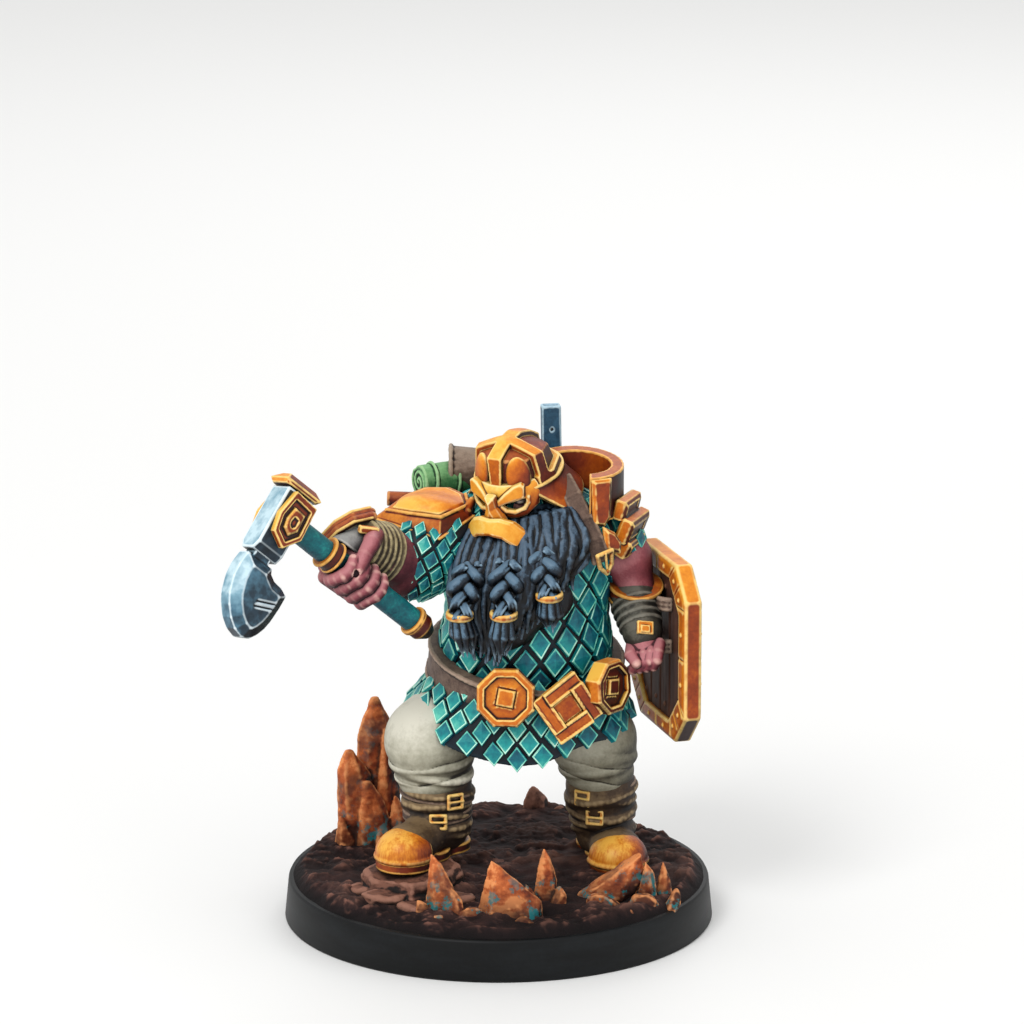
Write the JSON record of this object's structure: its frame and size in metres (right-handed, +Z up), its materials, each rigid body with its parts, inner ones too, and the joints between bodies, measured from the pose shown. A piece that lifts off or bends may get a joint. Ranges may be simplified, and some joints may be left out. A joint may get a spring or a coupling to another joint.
{
  "type": "painted miniature figure",
  "caption": "Painted tabletop miniature of a stocky armoured dwarf with a war hammer and a shield, glued on a round textured base.",
  "frame": {"origin": "centre of the base's underside, on the table", "axes": "+Z up along the figure; -Y is the way the figure faces; +X is the figure's left, the shield side"},
  "size_m": [0.036, 0.0325, 0.0377],
  "materials": {
    "base_black": "satin black painted rim",
    "earth_paint": "dark brown textured earth, drybrushed pinkish brown",
    "pin_steel": "plain wire",
    "rock_paint": "rust-orange painted rock with teal patches",
    "dark_rock_paint": "dark slate painted rock",
    "boot_paint": "matt brown leather paint with light creases",
    "gold_paint": "satin painted gold: red-brown shadows, orange, pale yellow edges",
    "trouser_paint": "matt grey-beige cloth paint with shaded folds",
    "teal_scale_paint": "teal painted scales with mint edges and dark blue gaps",
    "belt_paint": "matt brown leather paint",
    "skin_paint": "matt reddish skin paint",
    "red_brown_paint": "satin red-brown painted metal",
    "beard_paint": "matt dark blue-grey hair with pale strands",
    "bracer_paint": "matt olive-brown leather paint",
    "haft_paint": "satin teal painted wood",
    "steel_paint": "satin painted steel: dark to pale blue-grey, near-white edges",
    "glove_paint": "matt near-black leather paint",
    "board_paint": "matt dark brown painted planks",
    "green_paint": "matt green cloth paint",
    "cloth_paint": "matt grey-brown cloth paint",
    "blue_steel_paint": "satin dark blue painted metal"
  },
  "bodies": {
    "root": {"base_disc": "base_black", "ground": "earth_paint", "foot_pins": "pin_steel", "rock_spires_rear": "rock_paint", "rock_shards_front_right": "rock_paint", "rock_shards_front_centre": "rock_paint", "rock_slabs_front_left": "rock_paint", "rock_spike_rear": "dark_rock_paint", "rock_ledge": "dark_rock_paint", "right_boot": "boot_paint", "left_boot": "boot_paint", "toe_caps": "gold_paint", "soles": "gold_paint", "boot_buckles": "gold_paint", "right_trouser_leg": "trouser_paint", "left_trouser_leg": "trouser_paint", "coat_body": "teal_scale_paint", "coat_skirt": "teal_scale_paint", "right_sleeve": "teal_scale_paint", "left_sleeve": "teal_scale_paint", "belt": "belt_paint", "belt_buckle": "gold_paint", "belt_knot_plate": "gold_paint", "belt_medallion": "gold_paint", "head": "skin_paint", "helm_bowl": "red_brown_paint", "helm_bands": "gold_paint", "helm_mask": "gold_paint", "helm_moustache": "gold_paint", "helm_neck_guard": "gold_paint", "beard": "beard_paint", "right_braid": "beard_paint", "middle_braid": "beard_paint", "left_braid": "beard_paint", "braid_rings": "gold_paint", "right_pauldron": "gold_paint", "left_pauldron": "gold_paint", "left_pauldron_lames": "gold_paint", "shoulder_strap": "belt_paint", "strap_buckle": "gold_paint", "right_forearm": "skin_paint", "right_bracer": "bracer_paint", "right_hand": "skin_paint", "hammer_haft": "haft_paint", "hammer_fittings": "gold_paint", "hammer_block": "steel_paint", "hammer_beak": "steel_paint", "hammer_plaques": "gold_paint", "hammer_cap": "gold_paint", "left_arm": "skin_paint", "left_cuff": "gold_paint", "left_glove": "glove_paint", "left_hand": "skin_paint", "shield_board": "board_paint", "shield_rim": "gold_paint", "backpack": "belt_paint", "blanket_roll": "green_paint", "cloth_roll": "cloth_paint", "pack_rod": "red_brown_paint", "tool_handle": "blue_steel_paint"}
  },
  "joints": []
}
